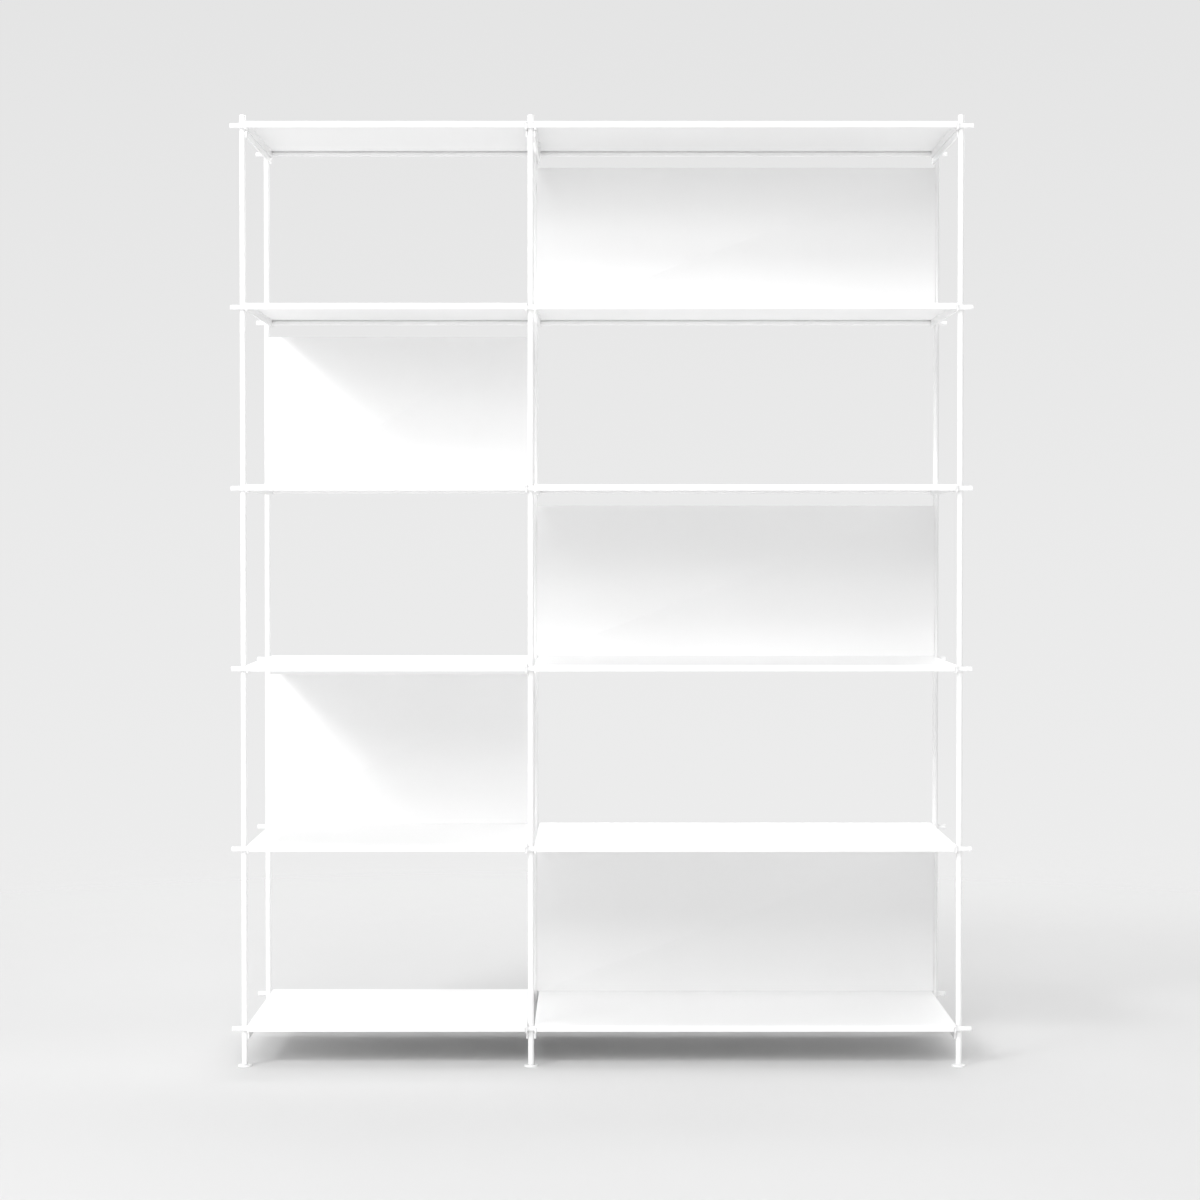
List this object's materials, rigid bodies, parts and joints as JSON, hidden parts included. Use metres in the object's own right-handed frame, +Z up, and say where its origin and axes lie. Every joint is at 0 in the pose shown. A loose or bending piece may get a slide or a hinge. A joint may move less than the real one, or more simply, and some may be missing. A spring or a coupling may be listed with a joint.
{
  "type": "open shelving unit",
  "caption": "Open shelving unit: slender round posts and crossbars carry folded sheet-metal trays in two uneven bays, with back panels in some compartments.",
  "frame": {"origin": "on the floor under the middle of the unit's width and depth", "axes": "+Z up; +Y from the front to the back, where the panels stand; +X to the right seen from the front"},
  "size_m": [1.232, 0.4, 1.584],
  "materials": {
    "frame_paint": "satin white powder coat on steel rod and bar",
    "shelf_paint": "satin white powder coat on folded sheet steel",
    "panel_paint": "satin white powder coat on flat sheet steel",
    "foot_paint": "satin white powder coat on turned steel",
    "clip_steel": "zinc plated spring strip"
  },
  "bodies": {
    "frame": {"bottom_left_inner_tie": "frame_paint", "bottom_left_outer_tie": "frame_paint", "bottom_right_inner_tie": "frame_paint", "bottom_right_outer_tie": "frame_paint", "front_crossbar_1": "frame_paint", "front_crossbar_2": "frame_paint", "front_crossbar_3": "frame_paint", "front_crossbar_4": "frame_paint", "front_crossbar_5": "frame_paint", "front_crossbar_6": "frame_paint", "front_left_post": "frame_paint", "front_middle_post": "frame_paint", "front_right_post": "frame_paint", "left_panel_2": "panel_paint", "left_panel_2_clips": "clip_steel", "left_panel_4": "panel_paint", "left_panel_4_clips": "clip_steel", "left_shelf_2": "shelf_paint", "left_shelf_4": "shelf_paint", "rear_crossbar_1": "frame_paint", "rear_crossbar_2": "frame_paint", "rear_crossbar_3": "frame_paint", "rear_crossbar_4": "frame_paint", "rear_crossbar_5": "frame_paint", "rear_crossbar_6": "frame_paint", "rear_left_post": "frame_paint", "rear_middle_post": "frame_paint", "rear_right_post": "frame_paint", "right_panel_1": "panel_paint", "right_panel_1_clips": "clip_steel", "right_panel_3": "panel_paint", "right_panel_3_clips": "clip_steel", "right_panel_5": "panel_paint", "right_panel_5_clips": "clip_steel", "right_shelf_1": "shelf_paint", "right_shelf_3": "shelf_paint", "right_shelf_5": "shelf_paint", "top_left_inner_tie": "frame_paint", "top_left_outer_tie": "frame_paint", "top_right_inner_tie": "frame_paint", "top_right_outer_tie": "frame_paint"},
    "left_shelf_1": {"left_shelf_1": "shelf_paint"},
    "left_shelf_3": {"left_shelf_3": "shelf_paint"},
    "left_shelf_5": {"left_shelf_5": "shelf_paint"},
    "left_shelf_6": {"left_shelf_6": "shelf_paint"},
    "right_shelf_2": {"right_shelf_2": "shelf_paint"},
    "right_shelf_4": {"right_shelf_4": "shelf_paint"},
    "right_shelf_6": {"right_shelf_6": "shelf_paint"},
    "front_left_foot": {"front_left_foot": "foot_paint"},
    "front_middle_foot": {"front_middle_foot": "foot_paint"},
    "front_right_foot": {"front_right_foot": "foot_paint"},
    "rear_left_foot": {"rear_left_foot": "foot_paint"},
    "rear_middle_foot": {"rear_middle_foot": "foot_paint"},
    "rear_right_foot": {"rear_right_foot": "foot_paint"}
  },
  "joints": [
    {"name": "left_shelf_1_lift", "type": "slide", "parent": "frame", "child": "left_shelf_1", "axis": [0, 0, 1], "range_m": [0, 0.03]},
    {"name": "left_shelf_3_lift", "type": "slide", "parent": "frame", "child": "left_shelf_3", "axis": [0, 0, 1], "range_m": [0, 0.03]},
    {"name": "left_shelf_5_lift", "type": "slide", "parent": "frame", "child": "left_shelf_5", "axis": [0, 0, 1], "range_m": [0, 0.03]},
    {"name": "left_shelf_6_lift", "type": "slide", "parent": "frame", "child": "left_shelf_6", "axis": [0, 0, 1], "range_m": [0, 0.03]},
    {"name": "right_shelf_2_lift", "type": "slide", "parent": "frame", "child": "right_shelf_2", "axis": [0, 0, 1], "range_m": [0, 0.03]},
    {"name": "right_shelf_4_lift", "type": "slide", "parent": "frame", "child": "right_shelf_4", "axis": [0, 0, 1], "range_m": [0, 0.03]},
    {"name": "right_shelf_6_lift", "type": "slide", "parent": "frame", "child": "right_shelf_6", "axis": [0, 0, 1], "range_m": [0, 0.03]},
    {"name": "front_left_foot_turn", "type": "hinge", "parent": "frame", "child": "front_left_foot", "pos_m": [-0.596, -0.18, 0], "axis": [0, 0, 1], "continuous": true},
    {"name": "front_middle_foot_turn", "type": "hinge", "parent": "frame", "child": "front_middle_foot", "pos_m": [-0.118, -0.18, 0], "axis": [0, 0, 1], "continuous": true},
    {"name": "front_right_foot_turn", "type": "hinge", "parent": "frame", "child": "front_right_foot", "pos_m": [0.596, -0.18, 0], "axis": [0, 0, 1], "continuous": true},
    {"name": "rear_left_foot_turn", "type": "hinge", "parent": "frame", "child": "rear_left_foot", "pos_m": [-0.596, 0.18, 0], "axis": [0, 0, 1], "continuous": true},
    {"name": "rear_middle_foot_turn", "type": "hinge", "parent": "frame", "child": "rear_middle_foot", "pos_m": [-0.118, 0.18, 0], "axis": [0, 0, 1], "continuous": true},
    {"name": "rear_right_foot_turn", "type": "hinge", "parent": "frame", "child": "rear_right_foot", "pos_m": [0.596, 0.18, 0], "axis": [0, 0, 1], "continuous": true}
  ]
}
